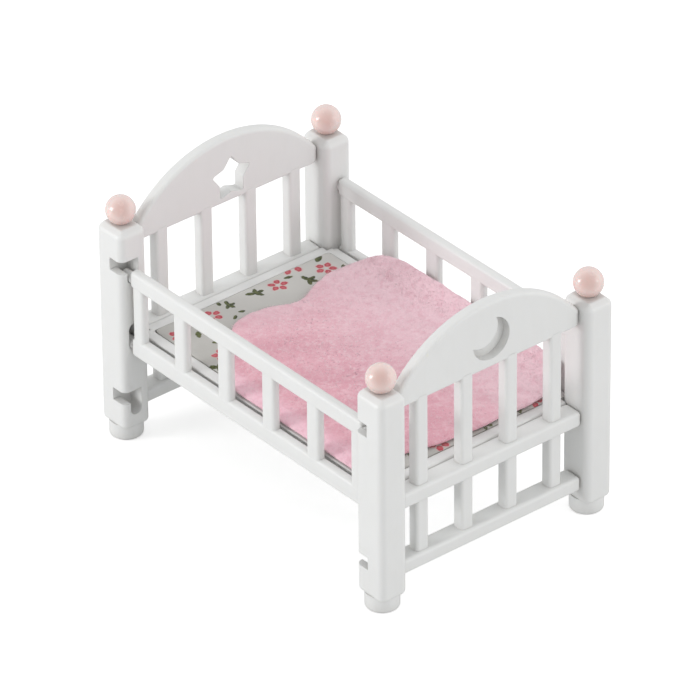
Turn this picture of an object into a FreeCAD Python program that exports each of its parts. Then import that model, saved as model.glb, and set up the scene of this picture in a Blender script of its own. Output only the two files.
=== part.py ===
import FreeCAD, Part
import math
import os
import Sketcher

# Miniature toy crib for small dolls: four posts with ball finials, two arched
# end panels, a fixed and a drop side rail, a bed base and bedding.
# Frame: +X runs from the headboard to the footboard, -Y is the front, the side
# with the drop rail, and +Z is up. The origin is on the floor, in the middle
# of the footprint. All sizes are in millimetres.

doc = FreeCAD.newDocument("toy_crib")
sheet = doc.addObject("Spreadsheet::Sheet", "Sizes")
sheet.Label = "Sizes"

# Driving dimensions: (alias, millimetres). A "root" is how far an added
# feature is sunk into the solid that carries it.
SIZES = [
    # posts: spans are between post axes
    ("post_span_x", 88.5), ("post_span_y", 58.3),
    ("post_wide_x", 8.7), ("post_wide_y", 7.4), ("post_low", 3.6), ("post_top", 54.9),
    ("post_corner", 1.6), ("post_bevel", 1.35), ("bevel_round", 1.6),
    ("post_rim", 0.5), ("post_toe", 1.0),
    ("foot_dia", 7.8), ("foot_round", 0.7), ("foot_root", 0.4),
    # finials and their sockets
    ("ball_dia", 6.8), ("ball_height", 58.1), ("stem_dia", 2.6), ("stem_long", 4.0),
    ("stem_hole", 2.66), ("stem_hole_deep", 4.3),
    # end panels: arched plate, cross bars and slats
    ("panel_thick", 3.0), ("bar_thick", 4.9), ("panel_slat", 3.1), ("panel_gap", 0.12),
    ("arch_apex", 65.6), ("arch_radius", 32.0), ("arch_base", 49.0), ("arch_round", 0.85),
    ("mid_bar_low", 23.7), ("mid_bar_top", 27.5), ("low_bar_low", 6.9), ("low_bar_top", 10.5),
    ("bar_round", 0.85), ("end_round", 0.8),
    ("slat_wide", 3.4), ("slat_pitch", 12.57), ("slat_round", 0.8),
    ("slat_low_root", 1.2), ("slat_top_root", 1.0),
    # tenons between panels and posts
    ("tenon_long", 1.7), ("tenon_thick", 1.4), ("tenon_high", 2.4), ("tenon_play", 0.06),
    ("tenon_root", 0.8), ("arch_tenon_rise", 2.2), ("mortise_spare", 0.25),
    # star through the headboard, crescent sunk in the footboard
    ("star_radius", 5.65), ("star_inner", 3.5), ("star_y", 0.75), ("star_height", 55.05),
    ("star_round", 0.45), ("star_overrun", 1.0),
    ("moon_radius", 5.1), ("moon_y", 0.35), ("moon_height", 56.35), ("moon_deep", 2.0),
    ("moon_bite", 4.45), ("moon_bite_y", 2.25), ("moon_bite_z", 59.35),
    # side rails
    ("rail_axis_y", 29.55), ("rail_thick", 2.4), ("rail_half", 39.7),
    ("rail_low", 23.1), ("rail_low_top", 27.8), ("rail_top_low", 40.8), ("rail_top", 45.1),
    ("rail_round", 0.85), ("rail_nose", 1.0), ("rail_slat_root", 1.4),
    ("stile_out", 39.2), ("stile_in", 35.5), ("stile_inset", 0.1),
    ("rail_slat_wide", 4.3), ("rail_slat_thick", 2.2), ("rail_slat_pitch", 15.18),
    ("rail_slat_round", 0.95),
    # pins, pegs, and the slots and sockets that hold them
    ("pivot_z", 25.5), ("lock_z", 42.65), ("peg_dia", 2.6), ("peg_reach", 3.3),
    ("shank_dia", 1.4), ("shank_hole", 1.5), ("shank_long", 5.0), ("shank_deep", 5.4),
    ("pin_gap", 0.08), ("pin_tip_round", 0.3), ("pin_overlap", 0.3),
    ("slot_wide", 3.0), ("slot_deep", 4.0), ("slot_play", 0.05), ("slot_overrun", 1.0),
    ("entry_high", 3.1), ("entry_top", 47.45), ("low_entry_top", 13.45),
    ("low_slot_end", 7.05), ("mid_slot_top", 30.9),
    ("fixed_peg_dia", 2.2), ("fixed_peg_hole", 2.26), ("fixed_peg_deep", 3.6),
    ("fixed_peg_root", 2.0),
    # bed base
    ("tray_low", 23.6), ("tray_top", 27.5), ("tray_floor", 25.2),
    ("tray_half_x", 41.7), ("tray_half_y", 27.0), ("tray_round", 0.5),
    ("recess_half_x", 38.9), ("recess_half_y", 25.1), ("recess_round", 0.9),
    ("notch_x", 39.65), ("notch_y", 25.2),
    ("tab_wide", 4.0), ("tab_y", 12.57), ("tab_low", 24.7), ("tab_high", 1.6),
    ("tab_long", 1.3), ("tab_play", 0.08), ("tab_pocket", 1.5), ("tab_root", 0.8),
    ("lip_low", 26.3), ("lip_reach", 0.6), ("lip_slope", 0.8), ("lip_span", 39.0),
    ("lip_root", 0.7), ("lip_bevel", 0.2),
    # bedding
    ("board_half_x", 38.7), ("board_half_y", 24.9), ("board_low", 25.3),
    ("board_high", 2.0), ("board_round", 1.4),
    ("cover_low", 27.35), ("cover_high", 0.4), ("cover_round", 0.15),
    ("blanket_low", 27.85), ("blanket_high", 1.6), ("blanket_head", 28.3),
    ("blanket_foot", 38.6), ("blanket_near", 26.6), ("blanket_far", 26.9),
    ("blanket_turn", 35.2), ("blanket_corner", 15.0),
]
for row, (alias, millimetres) in enumerate(SIZES, start=1):
    sheet.set("A%d" % row, alias)
    sheet.set("B%d" % row, str(millimetres))
    sheet.setAlias("B%d" % row, alias)
VALUES = dict(SIZES)
doc.recompute()


# ---------------------------------------------------------------- lengths
class Length:
    """A length that carries its value and the spreadsheet expression behind it."""

    def __init__(self, value, text):
        self.value = float(value)
        self.text = text

    def __add__(self, other):
        return Length(self.value + other.value, "(%s + %s)" % (self.text, other.text))

    def __sub__(self, other):
        return Length(self.value - other.value, "(%s - %s)" % (self.text, other.text))

    def __mul__(self, factor):
        factor = float(factor)
        return Length(self.value * factor, "(%s * %r)" % (self.text, factor))

    def __neg__(self):
        return self * -1.0


def size(alias):
    return Length(VALUES[alias], "Sizes.%s * 1 mm" % alias)


ZERO = Length(0.0, "0 mm")
PAD = "PartDesign::Pad"
POCKET = "PartDesign::Pocket"
parts = []


# ---------------------------------------------------------------- bodies and sketches
def place(part, x, y, z):
    part.Placement = FreeCAD.Placement(
        FreeCAD.Vector(x.value, y.value, z.value), FreeCAD.Rotation())
    for axis, length in zip("xyz", (x, y, z)):
        part.setExpression("Placement.Base.%s" % axis, length.text)


def new_body(label, x=ZERO, y=ZERO):
    body = doc.addObject("PartDesign::Body", label)
    body.Label = label
    place(body, x, y, ZERO)
    parts.append(body)
    return body


def new_sketch(body, name, plane, offset):
    """Sketch on an origin plane. The XZ plane looks along -Y: its offset is -y."""
    sketch = body.newObject("Sketcher::SketchObject", body.Label + "_" + name)
    support = next(f for f in body.Origin.OriginFeatures if f.Role == plane)
    sketch.AttachmentSupport = [(support, "")]
    sketch.MapMode = "FlatFace"
    sketch.AttachmentOffset = FreeCAD.Placement(
        FreeCAD.Vector(0, 0, offset.value), FreeCAD.Rotation())
    sketch.setExpression("AttachmentOffset.Base.z", offset.text)
    return sketch


def constrain(sketch, kind, *targets, length):
    """A dimension driven by the spreadsheet."""
    index = sketch.addConstraint(Sketcher.Constraint(kind, *targets, length.value))
    sketch.setExpression("Constraints[%d]" % index, length.text)


def pin_point(sketch, geometry, position, x, y):
    constrain(sketch, "DistanceX", -1, 1, geometry, position, length=x)
    constrain(sketch, "DistanceY", -1, 1, geometry, position, length=y)


def add_line(sketch, start, end):
    return sketch.addGeometry(
        Part.LineSegment(FreeCAD.Vector(*start, 0), FreeCAD.Vector(*end, 0)), False)


def add_arc(sketch, centre, radius, start_angle, end_angle):
    whole = Part.Circle(FreeCAD.Vector(*centre, 0), FreeCAD.Vector(0, 0, 1), radius)
    return sketch.addGeometry(Part.ArcOfCircle(whole, start_angle, end_angle), False)


def join_loop(sketch, edges):
    """Tie the end of each edge to the start of the next."""
    for edge, following in zip(edges, edges[1:] + edges[:1]):
        sketch.addConstraint(Sketcher.Constraint("Coincident", edge, 2, following, 1))


def draw_polygon(sketch, points):
    corners = [(x.value, y.value) for x, y in points]
    edges = [add_line(sketch, start, end)
             for start, end in zip(corners, corners[1:] + corners[:1])]
    join_loop(sketch, edges)
    for edge, (x, y) in zip(edges, points):
        pin_point(sketch, edge, 1, x, y)


def draw_circle(sketch, x, y, diameter):
    circle = sketch.addGeometry(
        Part.Circle(FreeCAD.Vector(x.value, y.value, 0), FreeCAD.Vector(0, 0, 1),
                    diameter.value / 2.0), False)
    pin_point(sketch, circle, 3, x, y)
    constrain(sketch, "Diameter", circle, length=diameter)


def box_points(x0, y0, x1, y1):
    return [(x0, y0), (x1, y0), (x1, y1), (x0, y1)]


# ---------------------------------------------------------------- features
# A pad runs along its plane's normal and a pocket against it, unless reversed.
def extrude(body, sketch, length, kind=PAD, reverse=False):
    feature = body.newObject(kind, sketch.Name + ("_pad" if kind == PAD else "_cut"))
    feature.Profile = sketch
    feature.Length = length.value
    feature.setExpression("Length", length.text)
    feature.Reversed = reverse
    doc.recompute()
    return feature


def pad(body, name, plane, offset, points, length, reverse=False, kind=PAD):
    sketch = new_sketch(body, name, plane, offset)
    draw_polygon(sketch, points)
    return extrude(body, sketch, length, kind, reverse)


def cut(body, name, plane, offset, points, length, reverse=False):
    return pad(body, name, plane, offset, points, length, reverse, POCKET)


def pad_round(body, name, plane, offset, x, y, diameter, length, reverse=False, kind=PAD):
    sketch = new_sketch(body, name, plane, offset)
    draw_circle(sketch, x, y, diameter)
    return extrude(body, sketch, length, kind, reverse)


def cut_round(body, name, plane, offset, x, y, diameter, length, reverse=False):
    return pad_round(body, name, plane, offset, x, y, diameter, length, reverse, POCKET)


def dress(body, kind, dimension, base, picks, length):
    """Fillet or chamfer the edges of base that picks() accepts."""
    names = ["Edge%d" % number
             for number, edge in enumerate(base.Shape.Edges, start=1) if picks(edge)]
    if not names:
        raise RuntimeError("%s on %s found no edge" % (kind, body.Label))
    name = "%s_%s%d" % (body.Label, kind.lower(), len(doc.Objects))
    feature = body.newObject("PartDesign::" + kind, name)
    feature.Base = (base, names)
    setattr(feature, dimension, length.value)
    feature.setExpression(dimension, length.text)
    doc.recompute()
    return feature


def fillet(body, base, picks, radius):
    return dress(body, "Fillet", "Radius", base, picks, radius)


def chamfer(body, base, picks, setback):
    return dress(body, "Chamfer", "Size", base, picks, setback)


# ---------------------------------------------------------------- edge tests
def near(a, b, tolerance=0.02):
    return abs(a - b) < tolerance


def edge_min(edge, axis):
    return getattr(edge.BoundBox, axis + "Min")


def all_at(edge, axis, position, tolerance=0.02):
    """True when the whole edge lies at one coordinate."""
    highest = getattr(edge.BoundBox, axis + "Max")
    return (near(edge_min(edge, axis), position.value, tolerance)
            and near(highest, position.value, tolerance))


def on_either(edge, axis, distance):
    """True when the whole edge lies at +distance or at -distance."""
    return all_at(edge, axis, distance) or all_at(edge, axis, -distance)


def upright(edge):
    if len(edge.Vertexes) < 2:
        return False
    start, end = edge.Vertexes[0].Point, edge.Vertexes[-1].Point
    return near(start.x, end.x) and near(start.y, end.y) and abs(start.z - end.z) > 0.2


def within_height(edge, low, top):
    box = edge.BoundBox
    return low.value - 0.05 < box.ZMin and box.ZMax < top.value + 0.05


# ---------------------------------------------------------------- shared outlines
# Far end of a panel in Y, just short of the post
PANEL_END_Y = (size("post_span_y") - size("post_wide_y")) * 0.5 - size("panel_gap")

# Height of each tenon's centre
TENONS = [
    ("arch", size("arch_base") + size("arch_tenon_rise")),
    ("mid", (size("mid_bar_low") + size("mid_bar_top")) * 0.5),
    ("low", (size("low_bar_low") + size("low_bar_top")) * 0.5),
]


def tenon_points(centre, play=ZERO):
    """Cross-section in X and Z of a tenon, or of its mortise when play is given."""
    half_x = size("tenon_thick") * 0.5 + play
    half_z = size("tenon_high") * 0.5 + play
    return box_points(-half_x, centre - half_z, half_x, centre + half_z)


def tab_points(side_y, play=ZERO):
    """Cross-section in Y and Z of a bed base tab, or of its socket with play."""
    centre = size("tab_y") * side_y
    half = size("tab_wide") * 0.5 + play
    low = size("tab_low")
    return box_points(centre - half, low - play, centre + half, low + size("tab_high") + play)


def add_upright_strip(body, name, plane, start, end, low, top, thick, rounding):
    """Vertical strip centred on its plane, with its four long edges rounded."""
    across, through = ("Y", "X") if plane == "YZ_Plane" else ("X", "Y")
    strip = pad(body, name, plane, thick * -0.5, box_points(start, low, end, top), thick)

    def long_edge(edge):
        position = edge_min(edge, across)
        return (upright(edge)
                and (near(position, start.value) or near(position, end.value))
                and near(abs(edge_min(edge, through)), thick.value / 2.0))

    fillet(body, strip, long_edge, rounding)


# ---------------------------------------------------------------- posts
# Corner name, side in X (-1 head, 1 foot), side in Y (-1 front, 1 back)
CORNERS = [("head_front", -1, -1), ("foot_front", 1, -1),
           ("head_back", -1, 1), ("foot_back", 1, 1)]
POST_HALF_X = size("post_wide_x") * 0.5
POST_HALF_Y = size("post_wide_y") * 0.5


def corner_body(label, side_x, side_y):
    return new_body(label, size("post_span_x") * (0.5 * side_x),
                    size("post_span_y") * (0.5 * side_y))


def cut_entry_slot(body, name, face, side_x, centre_y, entry_top, slot_end):
    """L slot: enters from -Y, then runs down to a round end."""
    radius = size("slot_wide") * 0.5
    mouth_y = -POST_HALF_Y - size("slot_overrun")
    sill = entry_top - size("entry_high")
    end_z = slot_end + radius
    y0, y1 = centre_y - radius, centre_y + radius
    points = [(mouth_y, entry_top), (y1, entry_top), (y1, end_z),
              (y0, end_z), (y0, sill), (mouth_y, sill)]
    deep, reverse = size("slot_deep"), side_x > 0
    cut(body, name, "YZ_Plane", face, points, deep, reverse)
    cut_round(body, name + "_end", "YZ_Plane", face, centre_y, end_z,
              size("slot_wide"), deep, reverse)


def cut_drop_rail_slots(body, face, side_x):
    """Lock and low L slots, and a closed pivot slot between them."""
    centre_y = size("post_span_y") * 0.5 - size("rail_axis_y")
    peg_drop = size("peg_dia") * 0.5
    play = size("slot_play")
    cut_entry_slot(body, "lock_slot", face, side_x, centre_y,
                   size("entry_top"), size("lock_z") - peg_drop - play)
    cut_entry_slot(body, "low_slot", face, side_x, centre_y,
                   size("low_entry_top"), size("low_slot_end"))
    radius = size("slot_wide") * 0.5
    low_z = size("pivot_z") - peg_drop - play + radius
    high_z = size("mid_slot_top") - radius
    deep, reverse = size("slot_deep"), side_x > 0
    cut(body, "pivot_slot", "YZ_Plane", face,
        box_points(centre_y - radius, low_z, centre_y + radius, high_z), deep, reverse)
    for k, end_z in enumerate((low_z, high_z)):
        cut_round(body, "pivot_slot_end%d" % k, "YZ_Plane", face, centre_y, end_z,
                  size("slot_wide"), deep, reverse)


def cut_fixed_rail_sockets(body, face, side_x):
    centre_y = size("rail_axis_y") - size("post_span_y") * 0.5
    for name, height in (("low", "pivot_z"), ("high", "lock_z")):
        cut_round(body, "rail_socket_" + name, "YZ_Plane", face, centre_y, size(height),
                  size("fixed_peg_hole"), size("fixed_peg_deep"), side_x > 0)


def build_post(corner, side_x, side_y):
    """Rectangular post with a bevelled top and a short round foot."""
    body = corner_body("post_" + corner, side_x, side_y)
    low, top = size("post_low"), size("post_top")
    bevel_z = top - size("post_bevel")
    step = pad(body, "shaft", "XY_Plane", low,
               box_points(-POST_HALF_X, -POST_HALF_Y, POST_HALF_X, POST_HALF_Y), top - low)
    step = fillet(body, step, upright, size("post_corner"))
    step = chamfer(body, step, lambda e: all_at(e, "Z", top), size("post_bevel"))
    step = fillet(body, step, lambda e: all_at(e, "Z", bevel_z), size("bevel_round"))
    step = fillet(body, step, lambda e: all_at(e, "Z", top), size("post_rim"))
    fillet(body, step, lambda e: all_at(e, "Z", low), size("post_toe"))
    foot = pad_round(body, "foot", "XY_Plane", ZERO, ZERO, ZERO,
                     size("foot_dia"), low + size("foot_root"))
    fillet(body, foot, lambda e: all_at(e, "Z", ZERO), size("foot_round"))
    cut_round(body, "stem_socket", "XY_Plane", top, ZERO, ZERO,
              size("stem_hole"), size("stem_hole_deep"))
    # mortises for the end panel, in the face that looks along Y to the middle
    for name, centre in TENONS:
        cut(body, "mortise_" + name, "XZ_Plane", POST_HALF_Y * side_y,
            tenon_points(centre, size("tenon_play")),
            size("tenon_long") + size("mortise_spare"), reverse=(side_y < 0))
    # rail fittings, in the face that looks along X to the middle
    face = POST_HALF_X * -side_x
    if side_y < 0:
        cut_drop_rail_slots(body, face, side_x)
    else:
        cut_fixed_rail_sockets(body, face, side_x)


# ---------------------------------------------------------------- finials
def build_finial(corner, side_x, side_y):
    """Ball with a small flat seat and a stem that enters the post."""
    label = "finial_" + corner
    body = corner_body(label, side_x, side_y)
    sketch = new_sketch(body, "profile", "XZ_Plane", ZERO)
    ball_radius = size("ball_dia") * 0.5
    stem_radius = size("stem_dia") * 0.5
    seat = size("post_top")
    stem_end = seat - size("stem_long")
    radius, centre = ball_radius.value, size("ball_height").value
    rise = seat.value - centre
    seat_radius = math.sqrt(radius * radius - rise ** 2)
    # right half of the section, round from the top of the ball to its seat
    corners = [(0, centre + radius), (0, stem_end.value),
               (stem_radius.value, stem_end.value),
               (stem_radius.value, seat.value), (seat_radius, seat.value)]
    ball = add_arc(sketch, (0, centre), radius, math.atan2(rise, seat_radius), math.pi / 2.0)
    axis, bottom, side, shoulder = [
        add_line(sketch, start, end) for start, end in zip(corners, corners[1:])]
    join_loop(sketch, [ball, axis, bottom, side, shoulder])
    pin_point(sketch, ball, 3, ZERO, size("ball_height"))
    constrain(sketch, "Radius", ball, length=ball_radius)
    sketch.addConstraint(Sketcher.Constraint("PointOnObject", ball, 2, -2))
    pin_point(sketch, axis, 2, ZERO, stem_end)
    pin_point(sketch, side, 1, stem_radius, stem_end)
    pin_point(sketch, side, 2, stem_radius, seat)
    sketch.addConstraint(Sketcher.Constraint("Horizontal", shoulder))
    doc.recompute()
    turn = body.newObject("PartDesign::Revolution", label + "_turn")
    turn.Profile = sketch
    turn.ReferenceAxis = (sketch, ["V_Axis"])
    turn.Angle = 360.0
    doc.recompute()


# ---------------------------------------------------------------- end panels
def add_arch_plate(body):
    thick, base_z, radius = size("panel_thick"), size("arch_base"), size("arch_radius")
    centre_z = size("arch_apex") - radius
    end_y = PANEL_END_Y.value
    rise = math.sqrt(radius.value ** 2 - end_y * end_y)
    shoulder = Length(centre_z.value + rise, "")
    sketch = new_sketch(body, "arch", "YZ_Plane", thick * -0.5)
    angle = math.atan2(rise, end_y)
    corners = [(-end_y, shoulder.value), (-end_y, base_z.value),
               (end_y, base_z.value), (end_y, shoulder.value)]
    arch = add_arc(sketch, (0, centre_z.value), radius.value, angle, math.pi - angle)
    near_side, base, far_side = [
        add_line(sketch, start, end) for start, end in zip(corners, corners[1:])]
    join_loop(sketch, [arch, near_side, base, far_side])
    pin_point(sketch, base, 1, -PANEL_END_Y, base_z)
    pin_point(sketch, base, 2, PANEL_END_Y, base_z)
    pin_point(sketch, arch, 3, ZERO, centre_z)
    constrain(sketch, "Radius", arch, length=radius)
    sketch.addConstraint(Sketcher.Constraint("Vertical", near_side))
    sketch.addConstraint(Sketcher.Constraint("Vertical", far_side))
    plate = extrude(body, sketch, thick)

    def plate_corner(edge):
        return on_either(edge, "Y", PANEL_END_Y) and (
            all_at(edge, "Z", shoulder, 0.05) or all_at(edge, "Z", base_z))

    def rim(edge):
        return edge.BoundBox.XLength < 0.01 and edge.BoundBox.ZMin > base_z.value + 0.5

    step = fillet(body, plate, plate_corner, size("end_round"))
    fillet(body, step, rim, size("arch_round"))


def add_cross_bar(body, name):
    thick = size("bar_thick")
    low, top = size(name + "_low"), size(name + "_top")
    bar = pad(body, name, "YZ_Plane", thick * -0.5,
              box_points(-PANEL_END_Y, low, PANEL_END_Y, top), thick)

    def outer_edge(edge):
        lengthwise = ((all_at(edge, "Z", top) or all_at(edge, "Z", low))
                      and on_either(edge, "X", thick * 0.5))
        at_end = within_height(edge, low, top) and on_either(edge, "Y", PANEL_END_Y)
        return lengthwise or at_end

    fillet(body, bar, outer_edge, size("bar_round"))


def cut_star(body):
    """Five-pointed star through the plate, with all its corners rounded."""
    thick, overrun = size("panel_thick"), size("star_overrun")
    points = []
    for k in range(10):
        radius = size("star_radius") if k % 2 == 0 else size("star_inner")
        angle = math.pi / 2.0 + k * math.pi / 5.0
        points.append((size("star_y") + radius * math.cos(angle),
                       size("star_height") + radius * math.sin(angle)))
    hole = cut(body, "star", "YZ_Plane", thick * -0.5 - overrun, points,
               thick + overrun * 2.0, reverse=True)

    def star_corner(edge):
        box = edge.BoundBox
        return box.YLength < 0.01 and box.ZLength < 0.01 and any(
            near(box.YMin, y.value) and near(box.ZMin, z.value) for y, z in points)

    fillet(body, hole, star_corner, size("star_round"))


def circle_crossings(centre1, radius1, centre2, radius2):
    dx, dy = centre2[0] - centre1[0], centre2[1] - centre1[1]
    distance = math.hypot(dx, dy)
    along = (radius1 ** 2 - radius2 ** 2 + distance ** 2) / (2.0 * distance)
    aside = math.sqrt(radius1 ** 2 - along ** 2)
    x = centre1[0] + along * dx / distance
    y = centre1[1] + along * dy / distance
    return [(x - sign * aside * dy / distance, y + sign * aside * dx / distance)
            for sign in (1.0, -1.0)]


def cut_moon(body):
    """Blind crescent in the +X face: a disc less the disc that bites into it."""
    circles = [
        (size("moon_y"), size("moon_height"), size("moon_radius")),
        (-size("moon_bite_y"), size("moon_bite_z"), size("moon_bite")),
    ]
    outer, bite = [((y.value, z.value), radius.value) for y, z, radius in circles]
    horns = circle_crossings(*outer, *bite)
    sketch = new_sketch(body, "moon", "YZ_Plane", size("panel_thick") * 0.5)
    arcs = []
    for centre, radius in (outer, bite):
        start, end = [math.atan2(z - centre[1], y - centre[0]) for y, z in horns]
        if end < start:
            end += 2.0 * math.pi
        arcs.append(add_arc(sketch, centre, radius, start, end))
    for position in (1, 2):
        sketch.addConstraint(
            Sketcher.Constraint("Coincident", arcs[0], position, arcs[1], position))
    for arc, (y, z, radius) in zip(arcs, circles):
        pin_point(sketch, arc, 3, y, z)
    for arc, (y, z, radius) in zip(arcs, circles):
        constrain(sketch, "Radius", arc, length=radius)
    extrude(body, sketch, size("moon_deep"), POCKET)


def build_panel(label, side_x, cut_motif):
    """Arched plate over four slats, with two cross bars and tenons into the posts."""
    body = new_body(label, size("post_span_x") * (0.5 * side_x))
    add_arch_plate(body)
    for name in ("mid_bar", "low_bar"):
        add_cross_bar(body, name)
    half = size("slat_wide") * 0.5
    for k in range(4):
        centre = size("slat_pitch") * (k - 1.5)
        add_upright_strip(body, "slat%d" % k, "YZ_Plane", centre - half, centre + half,
                          size("low_bar_low") + size("slat_low_root"),
                          size("arch_base") + size("slat_top_root"),
                          size("panel_slat"), size("slat_round"))
    cut_motif(body)
    root = size("tenon_root")
    for name, centre in TENONS:
        for end_name, side_y in (("far", 1.0), ("near", -1.0)):
            pad(body, "tenon_%s_%s" % (name, end_name), "XZ_Plane",
                (PANEL_END_Y - root) * -side_y, tenon_points(centre),
                size("tenon_long") + root + size("panel_gap"), reverse=(side_y > 0))
    # sockets in the mid bar for the tabs of the bed base
    for k, side_y in enumerate((-1.0, 1.0)):
        cut(body, "tab_socket%d" % k, "YZ_Plane", size("bar_thick") * (-0.5 * side_x),
            tab_points(side_y, size("tab_play")), size("tab_pocket"), reverse=(side_x > 0))


# ---------------------------------------------------------------- side rails
def add_rail_bar(body, name, low, top):
    thick, half = size("rail_thick"), size("rail_half")
    bar = pad(body, name, "XZ_Plane", thick * -0.5, box_points(-half, low, half, top), thick)

    def nose(edge):
        return (edge.BoundBox.ZLength < 0.01 and within_height(edge, low, top)
                and on_either(edge, "X", half))

    def face_edge(edge):
        return within_height(edge, low, top) and on_either(edge, "Y", thick * 0.5)

    bar = fillet(body, bar, nose, size("rail_nose"))
    fillet(body, bar, face_edge, size("rail_round"))


def build_rail(label, side_y):
    """Two long bars joined by end stiles and four slats."""
    body = new_body(label, ZERO, size("rail_axis_y") * side_y)
    add_rail_bar(body, "low_bar", size("rail_low"), size("rail_low_top"))
    add_rail_bar(body, "top_bar", size("rail_top_low"), size("rail_top"))
    low = size("rail_low") + size("rail_slat_root")
    top = size("rail_top") - size("rail_slat_root")
    rounding = size("rail_slat_round")
    # stiles, a little inside the bar ends and the bar faces
    stile_thick = size("rail_thick") - size("stile_inset") * 2.0
    stile_out, stile_in = size("stile_out"), size("stile_in")
    stiles = [(-stile_out, -stile_in), (stile_in, stile_out)]
    for k, (start, end) in enumerate(stiles):
        add_upright_strip(body, "stile%d" % k, "XZ_Plane", start, end, low, top,
                          stile_thick, rounding)
    half = size("rail_slat_wide") * 0.5
    for k in range(4):
        centre = size("rail_slat_pitch") * (k - 1.5)
        add_upright_strip(body, "slat%d" % k, "XZ_Plane", centre - half, centre + half,
                          low, top, size("rail_slat_thick"), rounding)
    return body


def build_fixed_rail():
    """Back rail, with two round pegs at each end."""
    body = build_rail("fixed_rail", 1.0)
    root = size("fixed_peg_root")
    for k, side_x in enumerate((-1.0, 1.0)):
        for name, height in (("low", "pivot_z"), ("high", "lock_z")):
            pad_round(body, "peg_%s%d" % (name, k), "YZ_Plane",
                      (size("rail_half") - root) * side_x, ZERO, size(height),
                      size("fixed_peg_dia"), size("peg_reach") + root, side_x < 0)


def build_drop_rail():
    """Front rail, with a blind bore at each end for a pivot pin's shank."""
    body = build_rail("drop_rail", -1.0)
    for k, side_x in enumerate((-1.0, 1.0)):
        cut_round(body, "pivot_bore%d" % k, "YZ_Plane", size("rail_half") * side_x,
                  ZERO, size("pivot_z"), size("shank_hole"), size("shank_deep"), side_x < 0)


# ---------------------------------------------------------------- pivot pins
def pin_shape(side_x):
    """Stepped pin: the head sits in the post's slot, the shank in the rail's bore."""
    gap, reach = VALUES["pin_gap"], VALUES["peg_reach"]
    head_start = VALUES["rail_half"] + gap
    head = Part.makeCylinder(
        VALUES["peg_dia"] / 2.0, reach,
        FreeCAD.Vector(side_x * head_start, 0, 0), FreeCAD.Vector(side_x, 0, 0))
    tip = [edge for edge in head.Edges
           if near(edge.BoundBox.XLength, 0.0)
           and near(abs(edge.BoundBox.XMin), head_start + reach)]
    head = head.makeFillet(VALUES["pin_tip_round"], tip)
    shank_start = side_x * (head_start + VALUES["pin_overlap"])
    shank = Part.makeCylinder(
        VALUES["shank_dia"] / 2.0, VALUES["shank_long"] + gap,
        FreeCAD.Vector(shank_start, 0, 0), FreeCAD.Vector(-side_x, 0, 0))
    return head.fuse(shank).removeSplitter()


def build_pins():
    """Both pins in one part, as two separate solids."""
    pins = doc.addObject("Part::Feature", "rail_pivot_pins")
    pins.Label = "rail_pivot_pins"
    pins.Shape = Part.makeCompound([pin_shape(-1.0), pin_shape(1.0)])
    place(pins, ZERO, -size("rail_axis_y"), size("pivot_z"))
    parts.append(pins)


# ---------------------------------------------------------------- bed base
def add_lip(body, name, side_y):
    """Thin undercut lip along one side of the rim, clear of the swinging rail."""
    half_y, low, top = size("tray_half_y"), size("lip_low"), size("tray_top")
    bevel = size("lip_bevel")
    root = (half_y - size("lip_root")) * side_y
    reach = (half_y + size("lip_reach")) * side_y
    points = [(root, low), (half_y * side_y, low), (reach, low + size("lip_slope")),
              (reach, top - bevel), (reach - bevel * side_y, top), (root, top)]
    pad(body, name, "YZ_Plane", -size("lip_span"), points, size("lip_span") * 2.0)


def build_bed_base():
    """Shallow tray with a flat rim, notched round the posts, with end tabs."""
    body = new_body("bed_base")
    half_x, half_y = size("tray_half_x"), size("tray_half_y")
    notch_x, notch_y = size("notch_x"), size("notch_y")
    recess_x, recess_y = size("recess_half_x"), size("recess_half_y")
    top = size("tray_top")
    outline = [
        (-notch_x, -half_y), (notch_x, -half_y), (notch_x, -notch_y),
        (half_x, -notch_y), (half_x, notch_y), (notch_x, notch_y),
        (notch_x, half_y), (-notch_x, half_y), (-notch_x, notch_y),
        (-half_x, notch_y), (-half_x, -notch_y), (-notch_x, -notch_y),
    ]
    pad(body, "slab", "XY_Plane", size("tray_low"), outline, top - size("tray_low"))
    recess = cut(body, "recess", "XY_Plane", top,
                 box_points(-recess_x, -recess_y, recess_x, recess_y),
                 top - size("tray_floor"))

    def recess_corner(edge):
        return (upright(edge) and near(abs(edge_min(edge, "X")), recess_x.value)
                and near(abs(edge_min(edge, "Y")), recess_y.value))

    def outer_rim(edge):
        return all_at(edge, "Z", top) and (
            on_either(edge, "Y", half_y) or on_either(edge, "X", half_x))

    step = fillet(body, recess, recess_corner, size("recess_round"))
    fillet(body, step, outer_rim, size("tray_round"))
    root = size("tab_root")
    tabs = ((-1.0, -1.0), (-1.0, 1.0), (1.0, -1.0), (1.0, 1.0))
    for k, (side_x, side_y) in enumerate(tabs):
        pad(body, "tab%d" % k, "YZ_Plane", (half_x - root) * side_x, tab_points(side_y),
            size("tab_long") + root, reverse=(side_x < 0))
    add_lip(body, "lip_near", -1.0)
    add_lip(body, "lip_far", 1.0)


# ---------------------------------------------------------------- bedding
def add_mattress_slab(label, low, high):
    """Flat slab with rounded corners. Returns its body and last feature."""
    body = new_body(label)
    half_x, half_y = size("board_half_x"), size("board_half_y")
    slab = pad(body, "slab", "XY_Plane", low,
               box_points(-half_x, -half_y, half_x, half_y), high)
    return body, fillet(body, slab, upright, size("board_round"))


def build_mattress():
    """Board, and a thin sheet over it with a softened top edge."""
    add_mattress_slab("mattress_board", size("board_low"), size("board_high"))
    low, high = size("cover_low"), size("cover_high")
    body, slab = add_mattress_slab("mattress_sheet", low, high)
    fillet(body, slab, lambda e: all_at(e, "Z", low + high), size("cover_round"))


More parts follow.
